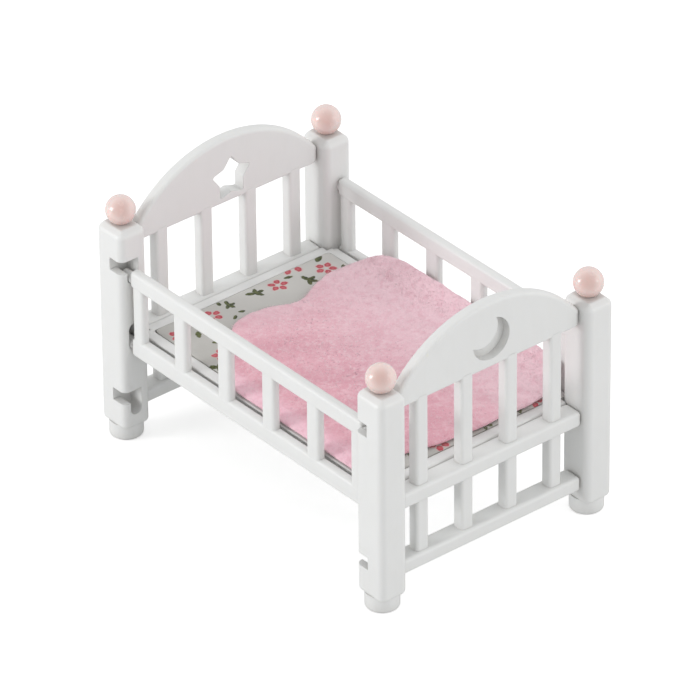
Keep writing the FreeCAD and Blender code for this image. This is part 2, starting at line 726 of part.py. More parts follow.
def build_blanket():
    """Soft sheet towards the foot, turned up at the fixed rail, one corner rounded."""
    body = new_body("blanket")
    near_y, far_y = -size("blanket_near"), size("blanket_far")
    low, high = size("blanket_low"), size("blanket_high")
    head, turn = size("blanket_head"), size("blanket_turn")
    profile = [(near_y, low), (far_y, low), (far_y, turn),
               (far_y - high, turn), (far_y - high, low + high), (near_y, low + high)]
    cloth = pad(body, "profile", "YZ_Plane", -head, profile, head + size("blanket_foot"))

    def head_front_corner(edge):
        return (upright(edge) and near(edge_min(edge, "Y"), near_y.value)
                and near(edge_min(edge, "X"), -head.value) and edge.BoundBox.ZLength < 2.0)

    fillet(body, cloth, head_front_corner, size("blanket_corner"))


# ---------------------------------------------------------------- assembly
for corner in CORNERS:
    build_post(*corner)
for corner in CORNERS:
    build_finial(*corner)
build_panel("headboard_panel", -1, cut_star)
build_panel("footboard_panel", 1, cut_moon)
build_fixed_rail()
build_drop_rail()
build_pins()
build_bed_base()
build_mattress()
build_blanket()
doc.recompute()

# ---------------------------------------------------------------- check and export
faults = []
for item in doc.Objects:
    if "Invalid" in item.State or "Error" in item.State:
        faults.append("%s is %s" % (item.Name, ",".join(item.State)))
for part in parts:
    expected = 2 if part.Label == "rail_pivot_pins" else 1
    if part.Shape.isNull() or not part.Shape.isValid():
        faults.append("%s has no valid shape" % part.Label)
    elif len(part.Shape.Solids) != expected:
        faults.append("%s has %d solids, not %d"
                      % (part.Label, len(part.Shape.Solids), expected))
if faults:
    raise RuntimeError("; ".join(faults))

os.makedirs("parts", exist_ok=True)
for part in parts:
    part.Shape.exportStep("parts/%s.step" % part.Label)
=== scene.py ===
# A toy cot with a drop rail. It stands on z = 0, long along X: the head is at -X,
# the foot at +X, the near side at -Y and the far side at +Y. The frame comes from
# the loaded pieces; this script adds the printed sheet, the fleece blanket, the
# rail's lock pegs, the materials, the floor, the lights and the camera.
# Scene units are metres; shapes are worked out in millimetres and scaled by MM.
import math
import random
from bisect import bisect_left

import bpy
import bmesh
from mathutils import Matrix, Vector, noise


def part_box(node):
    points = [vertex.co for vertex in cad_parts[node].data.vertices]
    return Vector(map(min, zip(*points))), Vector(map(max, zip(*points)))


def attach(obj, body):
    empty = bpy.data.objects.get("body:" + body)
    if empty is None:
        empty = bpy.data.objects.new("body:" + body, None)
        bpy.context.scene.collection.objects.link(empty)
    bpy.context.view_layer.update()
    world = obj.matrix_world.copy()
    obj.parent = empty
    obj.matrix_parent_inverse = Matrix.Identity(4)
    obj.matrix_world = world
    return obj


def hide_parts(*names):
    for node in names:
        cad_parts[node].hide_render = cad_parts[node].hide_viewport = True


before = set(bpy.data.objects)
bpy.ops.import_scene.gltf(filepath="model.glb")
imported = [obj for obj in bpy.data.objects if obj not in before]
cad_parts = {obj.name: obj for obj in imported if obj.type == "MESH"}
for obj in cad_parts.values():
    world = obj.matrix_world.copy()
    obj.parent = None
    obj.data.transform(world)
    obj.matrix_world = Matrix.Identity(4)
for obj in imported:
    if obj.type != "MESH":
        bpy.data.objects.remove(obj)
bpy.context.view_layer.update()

MM = 0.001
TO_MM = 1000.0
SCENE = bpy.context.scene
BLANKET_BODY = "blanket"
MATTRESS_BODY = "mattress"
RAIL_BODY = "drop_rail"


# ------------------------------------------------------------------ camera
AZIMUTH, ELEVATION, ROLL = (math.radians(angle) for angle in (50.537, 32.929, -0.551))
CAMERA_DISTANCE = 1.7749   # metres
SENSOR_WIDTH, LENS = 36.0, 417.66686   # mm
AIM_SIDEWAYS, AIM_HEIGHT = -0.821, 31.11   # mm, along the view's right and above the floor


def make_camera():
    """Add the camera; return its level right vector and the vector towards it."""
    toward = Vector((math.sin(AZIMUTH) * math.cos(ELEVATION),
                     -math.cos(AZIMUTH) * math.cos(ELEVATION), math.sin(ELEVATION)))
    right = Vector((math.cos(AZIMUTH), math.sin(AZIMUTH), 0.0))
    up = right.cross(-toward)
    rolled_right = right * math.cos(ROLL) + up * math.sin(ROLL)
    rolled_up = -right * math.sin(ROLL) + up * math.cos(ROLL)
    target = Vector((AIM_SIDEWAYS * math.cos(AZIMUTH), AIM_SIDEWAYS * math.sin(AZIMUTH),
                     AIM_HEIGHT)) * MM
    data = bpy.data.cameras.new("camera")
    camera = bpy.data.objects.new("camera", data)
    SCENE.collection.objects.link(camera)
    data.sensor_width = SENSOR_WIDTH
    data.lens = LENS
    data.clip_start, data.clip_end = 0.05, 50.0
    matrix = Matrix((rolled_right, rolled_up, toward)).transposed().to_4x4()
    matrix.translation = target + toward * CAMERA_DISTANCE
    camera.matrix_world = matrix
    SCENE.camera = camera
    return right, toward


RIGHT, TOWARD = make_camera()
SCENE.view_settings.view_transform = "Standard"


# ------------------------------------------------------------ node helpers
class Nodes:
    """Short calls for building a node tree."""

    def __init__(self, tree):
        self.tree = tree

    def put(self, socket, value):
        """Link a socket, or set a value; a colour is given as three numbers."""
        if isinstance(value, bpy.types.NodeSocket):
            self.tree.links.new(value, socket)
        elif socket.type == "RGBA":
            socket.default_value = (*value, 1.0)
        else:
            socket.default_value = value

    def node(self, kind, inputs=None, **props):
        """Add a node; inputs maps socket names or indices to values or sockets."""
        node = self.tree.nodes.new(kind)
        for name, value in props.items():
            setattr(node, name, value)
        for key, value in (inputs or {}).items():
            self.put(node.inputs[key], value)
        return node

    def math(self, operation, first, second=0.0, *third):
        values = dict(enumerate((first, second, *third)))
        return self.node("ShaderNodeMath", values, operation=operation).outputs[0]

    def plus(self, base, extra, times):
        return self.math("ADD", base, self.math("MULTIPLY", extra, times))

    def split(self, vector):
        return self.node("ShaderNodeSeparateXYZ", {0: vector}).outputs


class Material(Nodes):
    """A new material; textures are laid out by object coordinates."""

    def __init__(self, name):
        self.material = bpy.data.materials.new(name)
        self.material.use_nodes = True
        super().__init__(self.material.node_tree)
        self.principled = self.tree.nodes["Principled BSDF"]
        self.coordinates = None

    def coord(self):
        if self.coordinates is None:
            self.coordinates = self.node("ShaderNodeTexCoord").outputs["Object"]
        return self.coordinates

    def math(self, operation, first, second=0.0, third=0.0):
        return super().math(operation, first, second, third)

    def ramp(self, value, span, to=(0.0, 1.0), smooth=True):
        """Map span to the range in to, clamped at both ends."""
        return self.node("ShaderNodeMapRange", {
            "Value": value, "From Min": span[0], "From Max": span[1],
            "To Min": to[0], "To Max": to[1],
        }, interpolation_type="SMOOTHSTEP" if smooth else "LINEAR").outputs["Result"]

    def noise(self, per_mm, detail=3.0, rough=0.5, stretch=None):
        vector = self.coord()
        if stretch is not None:
            mapping = self.node("ShaderNodeMapping", {"Vector": vector, "Scale": stretch})
            vector = mapping.outputs["Vector"]
        return self.node("ShaderNodeTexNoise", {
            "Vector": vector, "Scale": per_mm * TO_MM, "Detail": detail, "Roughness": rough,
        }).outputs["Fac"]

    def mix(self, mask, low, high):
        """Colour low where the mask is 0, high where it is 1."""
        # sockets 6, 7 and 2 are the Mix node's colour A, B and result
        inputs = {0: mask, 6: low, 7: high}
        return self.node("ShaderNodeMix", inputs, data_type="RGBA").outputs[2]

    def tint(self, base, mask, amount, colour):
        return self.mix(self.math("MULTIPLY", mask, amount), base, colour)

    def bump(self, height, distance_mm, strength, normal=None):
        inputs = {"Height": height, "Distance": distance_mm * MM, "Strength": strength}
        if normal is not None:
            inputs["Normal"] = normal
        return self.node("ShaderNodeBump", inputs).outputs["Normal"]

    def corners(self, distance_mm):
        """Occlusion mask that rises to 1 in inner corners; the materials paint shade with it."""
        ao = self.node("ShaderNodeAmbientOcclusion", {"Distance": distance_mm * MM}, samples=6)
        return self.ramp(ao.outputs["AO"], span=(0.30, 0.95), to=(1.0, 0.0))

    def soft_edges(self, radius_mm):
        bevel = self.node("ShaderNodeBevel", {"Radius": radius_mm * MM}, samples=4)
        return bevel.outputs["Normal"]

    def set(self, **values):
        for name, value in values.items():
            self.put(self.principled.inputs[name.replace("_", " ")], value)


# --------------------------------------------------------------- materials
def white_plastic():
    """Moulded white plastic: satin, faint flow marks, soft edges, painted shade in its inner
    corners.
    """
    mat = Material("white_plastic")
    cloud = mat.noise(per_mm=0.045, detail=2.0)
    colour = mat.mix(cloud, low=(0.852, 0.858, 0.850), high=(0.818, 0.824, 0.815))
    streaks = mat.noise(per_mm=0.35, detail=4.0, rough=0.55, stretch=(1.0, 1.0, 0.35))
    flow = mat.ramp(streaks, span=(0.45, 0.75))
    colour = mat.tint(colour, flow, amount=0.35, colour=(0.80, 0.803, 0.79))
    # painted shade: darker warm grey in the inner corners, from an occlusion mask
    corner = mat.corners(distance_mm=4.0)
    colour = mat.tint(colour, corner, amount=0.50, colour=(0.585, 0.572, 0.55))
    rough = mat.ramp(mat.noise(per_mm=0.5), span=(0.3, 0.7), to=(0.30, 0.40))
    rough = mat.plus(rough, mat.noise(per_mm=4.0, detail=2.0), times=0.05)
    peel = mat.plus(mat.noise(per_mm=1.3), mat.noise(per_mm=5.0, detail=2.0), times=0.25)
    edges = mat.soft_edges(radius_mm=0.28)
    mat.set(Base_Color=colour, Roughness=rough, IOR=1.47,
            Normal=mat.bump(peel, distance_mm=0.02, strength=0.32, normal=edges),
            Subsurface_Weight=0.12, Subsurface_Radius=(1.0, 0.95, 0.85),
            Subsurface_Scale=0.8 * MM)
    return mat.material


def pink_plastic():
    """Moulded pale pink plastic, a little see-through, glossier than the white."""
    mat = Material("pink_plastic")
    cloud = mat.ramp(mat.noise(per_mm=0.16, rough=0.55), span=(0.35, 0.65))
    colour = mat.mix(cloud, low=(0.778, 0.560, 0.515), high=(0.760, 0.536, 0.492))
    fleck = mat.ramp(mat.noise(per_mm=2.2, rough=0.6), span=(0.58, 0.72))
    colour = mat.tint(colour, fleck, amount=0.12, colour=(0.80, 0.60, 0.56))
    # painted highlight: paler at grazing angles, mostly on the upper side; painted shade: darker
    # underneath
    facing = mat.node("ShaderNodeLayerWeight", {"Blend": 0.5}).outputs["Facing"]
    upward = mat.split(mat.node("ShaderNodeNewGeometry").outputs["Normal"])["Z"]
    painted_rim_highlight = mat.math("MULTIPLY", mat.ramp(facing, span=(0.01, 0.30), smooth=False),
                    mat.ramp(upward, span=(-0.75, 0.10)))
    colour = mat.tint(colour, painted_rim_highlight, amount=0.64, colour=(0.96, 0.82, 0.79))
    # painted shade on the underside
    painted_under_shade = mat.ramp(upward, span=(-0.15, -0.80))
    colour = mat.tint(colour, painted_under_shade, amount=0.35, colour=(0.62, 0.40, 0.36))
    rough = mat.ramp(mat.noise(per_mm=0.7), span=(0.3, 0.7), to=(0.20, 0.28))
    peel = mat.plus(mat.noise(per_mm=1.0), mat.noise(per_mm=4.0, detail=2.0), times=0.2)
    mat.set(Base_Color=colour, Roughness=rough, IOR=1.52,
            Normal=mat.bump(peel, distance_mm=0.02, strength=0.25),
            Subsurface_Weight=0.35, Subsurface_Radius=(1.0, 0.55, 0.45),
            Subsurface_Scale=1.2 * MM, Coat_Weight=0.35, Coat_Roughness=0.2)
    return mat.material


def petal_group():
    """Node group: distance to a ring of ellipses, 1 on their outlines."""
    tree = bpy.data.node_groups.new("petal_ring", "ShaderNodeTree")
    for name, value in (("Vector", None), ("Centre", None), ("Turn", 0.0), ("Size", 1.0),
                        ("Half", math.pi / 5), ("Reach", 0.6), ("Long", 0.36), ("Wide", 0.28)):
        kind = "NodeSocketVector" if value is None else "NodeSocketFloat"
        socket = tree.interface.new_socket(name=name, in_out="INPUT", socket_type=kind)
        if value is not None:
            socket.default_value = value
    tree.interface.new_socket(name="Distance", in_out="OUTPUT", socket_type="NodeSocketFloat")
    nodes = Nodes(tree)
    calc = nodes.math
    given = nodes.node("NodeGroupInput").outputs
    offset = nodes.node("ShaderNodeVectorMath", {0: given["Vector"], 1: given["Centre"]},
                        operation="SUBTRACT")
    parts = nodes.split(offset.outputs[0])
    x, y = parts["X"], parts["Y"]

    def length(a, b):
        return calc("SQRT", calc("ADD", calc("MULTIPLY", a, a), calc("MULTIPLY", b, b)))

    radius = calc("DIVIDE", length(x, y), given["Size"])
    # whole turns are added so that the angle stays positive, then it is folded into half a petal
    angle = calc("ADD", calc("ADD", calc("ARCTAN2", y, x), given["Turn"]), 40.0 * math.pi)
    fold = calc("PINGPONG", angle, given["Half"])
    along = calc("SUBTRACT", calc("MULTIPLY", radius, calc("COSINE", fold)), given["Reach"])
    across = calc("MULTIPLY", radius, calc("SINE", fold))
    distance = length(calc("DIVIDE", along, given["Long"]), calc("DIVIDE", across, given["Wide"]))
    nodes.node("NodeGroupOutput", {"Distance": distance})
    return tree


# one repeat of the print, in mm from the middle of the sheet: kind, x, y, turn, size.
# It repeats along X between the two ends in REPEAT
REPEAT = (-39.0, -13.0)
MOTIFS = [
    ("flower", -33.4, 19.7, 0.3, 2.40), ("flower", -34.9, 7.2, 1.1, 2.30),
    ("flower", -34.6, -11.9, 0.7, 2.3), ("flower", -33.4, -22.1, 0.0, 2.2),
    ("flower", -20.9, -20.2, 0.9, 2.2), ("flower", -15.4, -6.8, 0.5, 2.3),
    ("flower", -15.1, 19.6, 0.2, 2.2), ("flower", -22.3, 5.0, 0.2, 2.3),
    ("bud", -37.9, 12.4, 0.9, 1.15), ("bud", -37.3, 14.9, 0.2, 1.2),
    ("bud", -20.6, -14.6, 0.4, 1.1), ("bud", -16.4, 3.2, 0.5, 1.1),
    ("bud", -14.8, -18.5, 1.2, 1.1), ("bud", -25.0, 23.0, 1.2, 1.1),
    ("sprig", -32.1, 13.7, 0.5, 1.0), ("sprig", -35.6, 1.3, 1.4, 1.0),
    ("sprig", -35.8, -6.3, 0.1, 0.85), ("sprig", -17.7, -24.0, 0.9, 0.9),
    ("sprig", -15.0, 5.6, 0.6, 0.9), ("sprig", -15.2, -13.0, 1.3, 0.9),
    ("sprig", -26.8, -4.0, 1.0, 1.0), ("sprig", -24.4, 14.4, 0.4, 1.0),
    ("leaf", -37.8, 21.2, 0.9, 1.5), ("leaf", -31.6, 23.3, 0.6, 0.95),
    ("leaf", -36.0, 11.0, 1.9, 1.05), ("leaf", -37.6, -7.6, 0.3, 0.95),
    ("leaf", -31.7, -5.8, 2.0, 0.8), ("leaf", -30.8, -8.4, 0.9, 0.85),
    ("leaf", -30.6, -19.0, 0.5, 1.25), ("leaf", -25.6, -17.9, 2.2, 1.0),
    ("leaf", -14.4, 15.2, 0.4, 1.1), ("leaf", -16.0, -1.8, 1.2, 1.0),
]
FLOWER = {"Half": math.pi / 5, "Reach": 0.66, "Long": 0.36, "Wide": 0.30}
ELLIPSES = {"bud": (0.90, 0.62), "leaf": (1.0, 0.50)}   # half length, half width
# the four leaves of a sprig: angle, distance from its middle, size
SPRIG = ((-0.95, 0.95, 1.10), (0.15, 1.05, 1.15), (1.25, 0.95, 1.05), (2.75, 1.10, 1.20))


def print_marks():
    """The motifs, with each sprig spelled out as its leaves."""
    for kind, x, y, turn, size in MOTIFS:
        if kind != "sprig":
            yield kind, x, y, turn, size
            continue
        for lean, far, leaf_size in SPRIG:
            angle = turn + lean
            yield ("leaf", x + math.cos(angle) * far * size, y + math.sin(angle) * far * size,
                   -angle, leaf_size * size)


def print_distances(mat, where):
    """Distances to the nearest red mark and the nearest green one, 1 on the outlines."""
    group = petal_group()
    nearest = {}
    for kind, x, y, turn, size in print_marks():
        if kind == "flower":
            inputs = {"Vector": where, "Centre": (x, y, 0.0), "Turn": turn, "Size": size}
            flower = mat.node("ShaderNodeGroup", node_tree=group)
            for name, value in {**inputs, **FLOWER}.items():
                mat.put(flower.inputs[name], value)
            distance = flower.outputs["Distance"]
        else:
            # one ellipse: the point in its own frame, then its length
            long, wide = ELLIPSES[kind]
            local = mat.node("ShaderNodeMapping", {
                "Vector": where, "Location": (x, y, 0.0), "Rotation": (0.0, 0.0, -turn),
                "Scale": (long * size, wide * size, 1.0e5)}, vector_type="TEXTURE")
            distance = mat.node("ShaderNodeVectorMath", {0: local.outputs["Vector"]},
                                operation="LENGTH").outputs["Value"]
        key = "green" if kind == "leaf" else "red"
        if key in nearest:
            distance = mat.math("MINIMUM", nearest[key], distance)
        nearest[key] = distance
    return nearest["red"], nearest["green"]


def printed_sheet():
    """Off-white woven sheet with a small floral print."""
    mat = Material("printed_sheet")
    flat = mat.node("ShaderNodeVectorMath", {0: mat.coord(), "Scale": TO_MM},
                    operation="SCALE").outputs[0]
    # the print's outlines wander by up to a quarter of a millimetre
    wobble = mat.node("ShaderNodeTexNoise", {"Scale": 1.6, "Detail": 2.0, "Vector": flat})
    shift = mat.node("ShaderNodeVectorMath", {
        0: wobble.outputs["Color"], 1: (0.5, 0.5, 0.0), 2: (-0.25, -0.25, 0.0),
    }, operation="MULTIPLY_ADD")
    moved = mat.node("ShaderNodeVectorMath", {0: flat, 1: shift.outputs[0]}, operation="ADD")
    parts = mat.split(moved.outputs[0])
    where = mat.node("ShaderNodeCombineXYZ", {
        "X": mat.math("WRAP", parts["X"], REPEAT[1], REPEAT[0]), "Y": parts["Y"]}).outputs[0]
    red, green = print_distances(mat, where)

    # woven ground
    waves = [mat.node("ShaderNodeTexWave", {
        "Scale": 1.15, "Distortion": 0.6, "Detail": 1.0, "Vector": flat,
    }, wave_type="BANDS", bands_direction=axis).outputs["Fac"] for axis in "XY"]
    thread = mat.math("MULTIPLY", mat.math("ADD", *waves), 0.5)
    grain = mat.noise(per_mm=2.6, rough=0.6)
    cloth = mat.mix(mat.ramp(mat.noise(per_mm=0.12), span=(0.3, 0.7)),
                    low=(0.562, 0.556, 0.528), high=(0.520, 0.513, 0.484))
    cloth = mat.tint(cloth, mat.ramp(thread, span=(0.3, 0.8)),
                     amount=0.10, colour=(0.62, 0.61, 0.585))
    cloth = mat.tint(cloth, mat.ramp(grain, span=(0.5, 0.7)),
                     amount=0.10, colour=(0.76, 0.755, 0.74))
    # painted light: paler towards the far corner at the head, in mm
    painted_light_slant = mat.math("SUBTRACT", mat.math("MULTIPLY", parts["Y"], 0.7), parts["X"])
    cloth = mat.tint(cloth, mat.ramp(painted_light_slant, span=(12.0, 50.0)),
                     amount=0.75, colour=(0.720, 0.708, 0.680))

    # red petals with a pink blush round them, then green leaves
    soft = mat.math("MULTIPLY", mat.math("SUBTRACT", grain, 0.5), 0.5)
    red, green = mat.math("ADD", red, soft), mat.math("ADD", green, soft)
    blush = mat.tint(cloth, mat.ramp(red, span=(1.0, 1.6), to=(1.0, 0.0)),
                     amount=0.45, colour=(0.80, 0.42, 0.42))
    petal = mat.mix(mat.ramp(mat.noise(per_mm=0.9, rough=0.6), span=(0.35, 0.65)),
                    low=(0.50, 0.040, 0.070), high=(0.58, 0.085, 0.115))
    heart = mat.mix(0.35, low=petal, high=(0.78, 0.34, 0.34))
    petal = mat.mix(mat.ramp(red, span=(0.0, 0.9)), low=heart, high=petal)
    cloth = mat.mix(mat.ramp(red, span=(0.92, 1.10), to=(1.0, 0.0)), low=blush, high=petal)
    leaf = mat.mix(mat.ramp(mat.noise(per_mm=1.4, rough=0.6), span=(0.38, 0.62)),
                   low=(0.045, 0.058, 0.022), high=(0.125, 0.145, 0.045))
    cloth = mat.mix(mat.ramp(green, span=(0.90, 1.12), to=(1.0, 0.0)), low=cloth, high=leaf)
    # painted shade: darker in the inner corners, from an occlusion mask
    cloth = mat.tint(cloth, mat.corners(distance_mm=1.6),
                     amount=0.28, colour=(0.33, 0.31, 0.29))
    height = mat.plus(mat.math("MULTIPLY", thread, 0.7), grain, times=0.6)
    mat.set(Base_Color=cloth, Roughness=mat.ramp(grain, span=(0.3, 0.7), to=(0.78, 0.92)),
            Normal=mat.bump(height, distance_mm=0.06, strength=0.55),
            Sheen_Weight=0.15, Sheen_Roughness=0.5)
    return mat.material


def felted(mat, tuft, fibre):
    """Ground colour of the fleece, with pale and dark tufts, fibres and specks."""
    cloud = mat.ramp(mat.noise(per_mm=0.085, rough=0.55), span=(0.36, 0.64))
    colour = mat.mix(cloud, low=(0.890, 0.495, 0.572), high=(0.852, 0.440, 0.520))
    speck = mat.noise(per_mm=1.5, detail=2.0)
    pale = mat.noise(per_mm=1.25, detail=2.0, stretch=(1.3, 0.8, 1.0))
    up, down = (0.0, 1.0), (1.0, 0.0)
    # pattern, span of the pattern that is tinted, direction, amount, colour
    for pattern, span, to, amount, shade in (
            (tuft, (0.50, 0.66), up, 0.70, (0.955, 0.700, 0.750)),
            (tuft, (0.34, 0.48), down, 0.62, (0.770, 0.370, 0.460)),
            (fibre, (0.56, 0.72), up, 0.45, (0.955, 0.735, 0.780)),
            (speck, (0.635, 0.70), up, 0.72, (0.430, 0.210, 0.270)),
            (pale, (0.63, 0.70), up, 0.45, (0.97, 0.84, 0.86))):
        colour = mat.tint(colour, mat.ramp(pattern, span, to), amount, shade)
    return colour


def painted_light_by_place(mat, colour):
    """Painted light and shade on the fleece by place; spans of x and y are in metres."""
    place = mat.split(mat.coord())
    x, y = place["X"], place["Y"]
    # painted light: paler towards the far side and the head
    head = mat.math("MULTIPLY", mat.ramp(x, span=(-0.012, -0.027)), 0.6)
    pale = mat.math("MAXIMUM", mat.ramp(y, span=(-0.008, 0.026)), head)
    colour = mat.tint(colour, pale, amount=0.88, colour=(1.0, 0.735, 0.805))
    # painted shade: deeper towards the near side and the foot
    foot = mat.math("MULTIPLY", mat.ramp(x, span=(0.004, 0.024)),
                    mat.ramp(y, span=(0.014, 0.002)))
    painted_shade = mat.math("MAXIMUM", mat.ramp(y, span=(-0.003, -0.014)), foot)
    colour = mat.tint(colour, painted_shade, amount=0.40, colour=(0.815, 0.385, 0.465))
    # painted light: paler near edge
    edge = mat.ramp(y, span=(-0.0215, -0.0262))
    return mat.tint(colour, edge, amount=0.90, colour=(1.0, 0.650, 0.750))


def fleece():
    """Pink fleece, its pile raised by brushing and felted, with a soft bloom at grazing angles.
    """
    mat = Material("blanket_fleece")
    tuft = mat.noise(per_mm=1.15, detail=5.0, rough=0.66)
    fibre = mat.noise(per_mm=2.4, detail=4.0, rough=0.65, stretch=(1.0, 0.45, 1.0))
    # painted light and shade by place over the felted ground colour
    colour = painted_light_by_place(mat, felted(mat, tuft, fibre))
    clump = mat.noise(per_mm=0.52, rough=0.6)
    colour = mat.tint(colour, mat.ramp(clump, span=(0.50, 0.66)),
                      amount=0.30, colour=(1.0, 0.72, 0.78))
    colour = mat.tint(colour, mat.ramp(clump, span=(0.36, 0.50), to=(1.0, 0.0)),
                      amount=0.26, colour=(0.80, 0.38, 0.47))
    # light bounced off the fleece is less pink than the fleece itself
    bounce = mat.node("ShaderNodeLightPath").outputs["Is Diffuse Ray"]
    colour = mat.tint(colour, bounce, amount=0.28, colour=(0.78, 0.72, 0.72))
    height = mat.plus(mat.math("MULTIPLY", tuft, 0.8), fibre, times=0.45)
    mat.set(Base_Color=colour, Roughness=mat.ramp(tuft, span=(0.3, 0.7), to=(0.86, 0.97)),
            Normal=mat.bump(height, distance_mm=0.28, strength=0.55),
            Specular_IOR_Level=0.15, Sheen_Weight=0.75, Sheen_Roughness=0.42,
            Sheen_Tint=(1.0, 0.90, 0.93))
    return mat.material


def pile():
    """Loose fibres of the fleece: paler than the ground, each patch a little different."""
    mat = Material("fleece_pile")
    tone = mat.noise(per_mm=1.6, rough=0.6)
    colour = mat.mix(mat.ramp(tone, span=(0.35, 0.65)),
                     low=(0.95, 0.68, 0.74), high=(0.98, 0.88, 0.90))
    dark = mat.ramp(mat.noise(per_mm=2.8, detail=2.0), span=(0.64, 0.70))
    colour = mat.tint(colour, dark, amount=0.6, colour=(0.66, 0.36, 0.44))
    bumps = mat.noise(per_mm=9.0, detail=2.0)
    mat.set(Base_Color=colour, Roughness=mat.ramp(tone, span=(0.3, 0.7), to=(0.65, 0.9)),
            Normal=mat.bump(bumps, distance_mm=0.01, strength=0.5),
            Specular_IOR_Level=0.2, Sheen_Weight=0.3, Sheen_Roughness=0.5)
    return mat.material


def board():
    """Pale pressed card under the sheet."""
    mat = Material("mattress_card")
    speck = mat.noise(per_mm=1.5, detail=4.0, rough=0.6)
    colour = mat.mix(mat.ramp(speck, span=(0.35, 0.65)),
                     low=(0.66, 0.63, 0.57), high=(0.58, 0.55, 0.49))
    fibre = mat.noise(per_mm=0.9, detail=4.0, rough=0.6, stretch=(0.3, 1.6, 1.0))
    colour = mat.tint(colour, mat.ramp(fibre, span=(0.55, 0.7)),
                      amount=0.4, colour=(0.72, 0.70, 0.65))
    height = mat.math("ADD", speck, fibre)
    mat.set(Base_Color=colour, Roughness=mat.ramp(speck, span=(0.3, 0.7), to=(0.78, 0.95)),
            Normal=mat.bump(height, distance_mm=0.05, strength=0.5))
    return mat.material


def pin_plastic():
    """The pivot pins: the same white plastic, a little shinier where they rub."""
    mat = Material("pin_plastic")
    rub = mat.ramp(mat.noise(per_mm=1.2, stretch=(0.3, 1.5, 1.5)), span=(0.4, 0.7))
    mat.set(Base_Color=mat.mix(rub, low=(0.80, 0.80, 0.785), high=(0.745, 0.745, 0.73)),
            Roughness=mat.ramp(rub, span=(0.0, 1.0), to=(0.22, 0.36)), IOR=1.47,
            Normal=mat.bump(mat.noise(per_mm=2.5), distance_mm=0.015, strength=0.5))
    return mat.material


WHITE, PINK, SHEET, FLEECE = white_plastic(), pink_plastic(), printed_sheet(), fleece()
CARD, PIN, PILE = board(), pin_plastic(), pile()
# loaded pieces that are not white; the finials are pink
PIECE_MATERIALS = {"mattress_board": CARD, "mattress_sheet": SHEET, "blanket": FLEECE,
                   "rail_pivot_pins": PIN}

for name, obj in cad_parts.items():
    obj.data.materials.clear()
    is_finial = name.startswith("finial")
    obj.data.materials.append(PINK if is_finial else PIECE_MATERIALS.get(name, WHITE))


# ------------------------------------------------------------ mesh helpers
def outward_mesh(name, verts, faces):
    """A mesh with its normals made consistent."""
    mesh = bpy.data.meshes.new(name)
    mesh.from_pydata([tuple(v) for v in verts], [], faces)
    mesh.update()
    bm = bmesh.new()
    bm.from_mesh(mesh)
    bmesh.ops.recalc_face_normals(bm, faces=bm.faces)
    bm.to_mesh(mesh)
    bm.free()
    return mesh


def add_object(name, mesh):
    obj = bpy.data.objects.new(name, mesh)
    SCENE.collection.objects.link(obj)
    return obj


def shade_smooth(mesh):
    for face in mesh.polygons:
        face.use_smooth = True


def new_object(name, verts, faces, material):
    mesh = outward_mesh(name, verts, faces)
    shade_smooth(mesh)
    mesh.materials.append(material)
    return add_object(name, mesh)


def rounded_point(s, t, half_x, half_y, radii):
    """A square grid point (-1..1) moved into a rectangle with rounded corners.

    radii are for the corners (-x, -y), (+x, -y), (-x, +y) and (+x, +y)."""
    rim = max(abs(s), abs(t))
    if rim < 1e-9:
        return 0.0, 0.0
    a, b = half_x * rim, half_y * rim
    # inner rings have quickly shrinking corners
    corner = radii[(0 if s < 0 else 1) + (0 if t < 0 else 2)] * rim ** 2.2
    radius = min(corner, 0.98 * min(a, b))
    on_x_side = abs(s) >= abs(t)
    lead, side = (a, b) if on_x_side else (b, a)
    straight = side - radius
    along = min(abs(s), abs(t)) / rim * (straight + radius * math.pi / 4)
    if along <= straight:
        out, across = lead, along
    else:
        angle = (along - straight) / radius
        out = lead - radius + radius * math.cos(angle)
        across = straight + radius * math.sin(angle)
    x, y = (out, across) if on_x_side else (across, out)
    return math.copysign(x, s), math.copysign(y, t)


def pad_mesh(nx, ny, plan, lift):
    """A closed pad: two layers of the same plan, joined round the rim by one more row.

    plan(s, t) gives the plan point; lift(x, y, side, s, t) gives the final point,
    with side +1 for the top, -1 for the underside and 0 for the rim row."""
    top, low, verts, faces = {}, {}, [], []

    def add_point(i, j, side):
        s, t = 2.0 * i / nx - 1.0, 2.0 * j / ny - 1.0
        verts.append(lift(*plan(s, t), side, s, t))
        return len(verts) - 1

    for j in range(ny + 1):
        for i in range(nx + 1):
            top[i, j] = add_point(i, j, 1)
            low[i, j] = add_point(i, j, -1)
    for j in range(ny):
        for i in range(nx):
            ring = (i, j), (i + 1, j), (i + 1, j + 1), (i, j + 1)
            faces.append(tuple(top[at] for at in ring))
            faces.append(tuple(low[ring[k]] for k in (0, 3, 2, 1)))
    loop = [(i, 0) for i in range(nx)] + [(nx, j) for j in range(ny)]
    loop += [(i, ny) for i in range(nx, 0, -1)] + [(0, j) for j in range(ny, 0, -1)]
    mids = [add_point(i, j, 0) for i, j in loop]
    for k, a in enumerate(loop):
        after = (k + 1) % len(loop)
        b = loop[after]
        faces.append((top[a], mids[k], mids[after], top[b]))
        faces.append((low[a], low[b], mids[after], mids[k]))
    return verts, faces


SIM_SCALE = 20.0        # the cloth is simulated this much enlarged
SIM_STIFFNESS = 18.0


